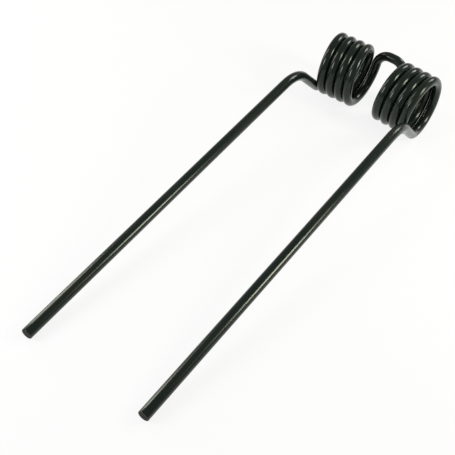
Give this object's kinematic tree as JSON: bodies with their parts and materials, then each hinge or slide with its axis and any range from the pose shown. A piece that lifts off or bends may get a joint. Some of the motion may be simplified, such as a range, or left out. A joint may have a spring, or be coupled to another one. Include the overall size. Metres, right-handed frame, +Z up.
{
  "type": "torsion spring",
  "caption": "Torsion spring tine of bent round wire: side-by-side coils joined by a U-shaped bridge, with a long straight leg at each outer end.",
  "frame": {"origin": "on the plane the spring lies on, at the centre of its outline seen from above", "axes": "+X along the coils, across the legs; -Y the way the legs point; +Z up from the plane the spring lies on"},
  "size_m": [0.0784, 0.2982, 0.041],
  "materials": {
    "painted_wire": "gloss"
  },
  "bodies": {
    "root": {"spring_wire": "painted_wire"}
  },
  "joints": []
}
